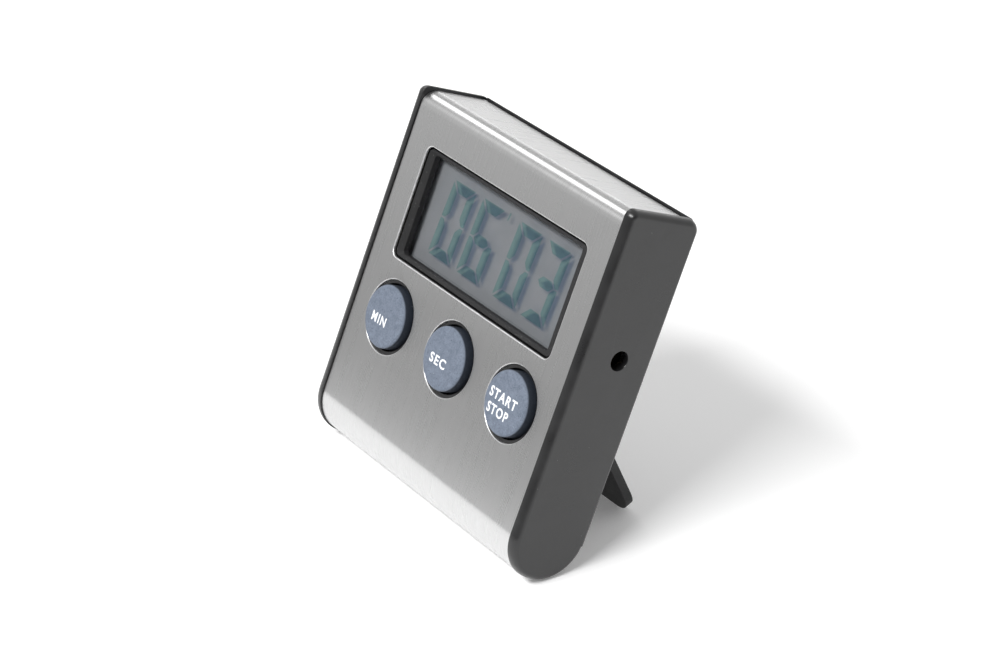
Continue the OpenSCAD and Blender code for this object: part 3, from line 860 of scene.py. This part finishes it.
def make_world(dark_side):
    """Soft white room that is dark behind the camera, bright on the far left, dimmer overhead."""
    world = bpy.data.worlds.new("soft_room")
    bpy.context.scene.world = world
    world.use_nodes = True
    tree = world.node_tree
    background = tree.nodes["Background"]
    background.inputs["Color"].default_value = (1, 1, 1, 1)
    place = tree.nodes.new("ShaderNodeTexCoord")
    toward = tree.nodes.new("ShaderNodeVectorMath")
    toward.operation = "DOT_PRODUCT"
    toward.inputs[1].default_value = dark_side
    tree.links.new(place.outputs["Generated"], toward.inputs[0])
    around = ramp_node(tree, toward.outputs["Value"], -0.30, 0.96, 1.04, 0.08)
    height = tree.nodes.new("ShaderNodeSeparateXYZ")
    tree.links.new(place.outputs["Generated"], height.inputs[0])
    overhead = ramp_node(tree, height.outputs["Z"], 0.12, 0.42, 1.0, 0.6)
    strength = tree.nodes.new("ShaderNodeMath")
    strength.operation = "MULTIPLY"
    tree.links.new(around, strength.inputs[0])
    tree.links.new(overhead, strength.inputs[1])
    tree.links.new(strength.outputs[0], background.inputs["Strength"])


def soft_light(name, direction, distance, width, height, power):
    """A rectangular light that faces the timer from that direction."""
    data = bpy.data.lights.new(name, "AREA")
    data.shape = "RECTANGLE"
    data.size = width
    data.size_y = height
    data.energy = power
    light = bpy.data.objects.new(name, data)
    bpy.context.scene.collection.objects.link(light)
    toward = Vector(direction).normalized()
    light.location = CAMERA_AIM + toward * distance
    light.rotation_euler = toward.to_track_quat("Z", "Y").to_euler()


def make_camera():
    data = bpy.data.cameras.new("photo_camera")
    data.lens = CAMERA_LENS
    data.sensor_width = 36.0
    camera = bpy.data.objects.new("photo_camera", data)
    bpy.context.scene.collection.objects.link(camera)
    level = (CAMERA_PLACE - CAMERA_AIM).to_track_quat("Z", "Y").to_matrix()
    rolled = level @ Matrix.Rotation(CAMERA_ROLL, 3, "Z")
    camera.matrix_world = Matrix.Translation(CAMERA_PLACE) @ rolled.to_4x4()
    bpy.context.scene.camera = camera


make_camera()
make_floor()
make_world((0.60, -0.80, 0.0))
soft_light("key_soft_box", (0.12, -0.66, 0.74), 1.8, 1.05, 0.4, 36.0)
soft_light("left_overhead_card", (-0.728, 0.06, 0.683), 1.2, 0.36, 0.6, 1.5)
soft_light("left_back_card", (-0.728, 0.640, 0.245), 1.2, 0.6, 0.08, 0.4)
bpy.context.scene.view_settings.view_transform = "Standard"

plastic = black_plastic()
cut_steel = moulded("punched_steel_edge", (0.78, 0.78, 0.78), 0.42, 0.12 * MM, 0.004 * MM, Metallic=1.0)
make_steel_cover(brushed_steel(), cut_steel)
# the stand's moulding: matt, and darker than the case; the darker colour is painted shade for the
# shadow the stand lies in
stand_plastic_painted_shade = black_plastic("matt_black_moulding_painted_shade", (0.006, 0.006, 0.0065), 0.42, 0.5)
dusty_plastic = black_plastic("dusty_black_frame", (0.010, 0.010, 0.0105), 0.36, 0.55, 0.5 * MM)
make_case_front(plastic, dusty_plastic)
rubber = key_rubber()
ink = legend_ink()
for node, body in (("button_minutes", "key_minutes"), ("button_seconds", "key_seconds"),
                   ("button_start_stop", "key_start_stop")):
    make_key(node, body, rubber)
make_legend("legend_minutes", [("MIN", -1.0 * MM, -0.9 * MM, 4.4 * MM, 1.8 * MM, 0.018)],
            "button_minutes", "key_minutes", ink)
make_legend("legend_seconds", [("SEC", -1.0 * MM, -0.85 * MM, 4.8 * MM, 1.8 * MM, 0.024)],
            "button_seconds", "key_seconds", ink)
make_legend("legend_start_stop", [("START", -0.65 * MM, 0.6 * MM, 7.8 * MM, 1.85 * MM, 0.024),
                                  ("STOP", -1.0 * MM, -2.1 * MM, 6.1 * MM, 1.85 * MM, 0.024)],
            "button_start_stop", "key_start_stop", ink)
make_display(display_glass(), segment_film(), reflector_film())

dress("rear_cover", plastic, 0.15 * MM)
dress("stand", stand_plastic_painted_shade, 0.18 * MM)
dress("battery_cover", plastic, 0.12 * MM)
ferrite = moulded("ground_ferrite", (0.055, 0.055, 0.06), 0.45, 0.15 * MM, Metallic=0.5)
for node in ("magnet_left", "magnet_right"):
    dress(node, ferrite, 0.1 * MM)
screws = moulded("zinc_screw", (0.33, 0.33, 0.32), 0.35, 0.2 * MM, Metallic=1.0)
dress("case_screws", screws, 0.06 * MM)
dress("board_screws", screws)
dress("lcd_holder", moulded("white_moulding", (0.75, 0.75, 0.72), 0.5))
dress("zebra_strip", layered_rubber())
dress("circuit_board", board_laminate())
dress("chip_blob", moulded("black_epoxy", (0.012, 0.012, 0.012), 0.2, 0.8 * MM, 0.02 * MM))
nickel = moulded("nickel_plate", (0.66, 0.64, 0.60), 0.25, 0.2 * MM, 0.002 * MM, Metallic=1.0)
for node in ("crystal_can", "battery_spring_plate", "battery_contact_plate", "battery_spring"):
    dress(node, nickel)
dress("chip_capacitors", moulded("ceramic_chip", (0.42, 0.31, 0.20), 0.5))
dress("keypad_mat", moulded("grey_silicone", (0.24, 0.26, 0.29), 0.7))
carbon = moulded("carbon_rubber", (0.02, 0.02, 0.02), 0.8)
for node in ("pill_minutes", "pill_seconds", "pill_start_stop"):
    dress(node, carbon)
brass = moulded("tarnished_brass", (0.16, 0.12, 0.06), 0.45, 0.3 * MM, 0.003 * MM, Metallic=1.0)
dress("buzzer_plate", brass)
dress("buzzer_ceramic", moulded("piezo_ceramic", (0.78, 0.75, 0.66), 0.6))
dress("buzzer_wires", moulded("red_wire_insulation", (0.45, 0.03, 0.02), 0.4))
dress("battery_cell", moulded("cell_sleeve", (0.06, 0.20, 0.11), 0.3, 1.5 * MM, 0.005 * MM))
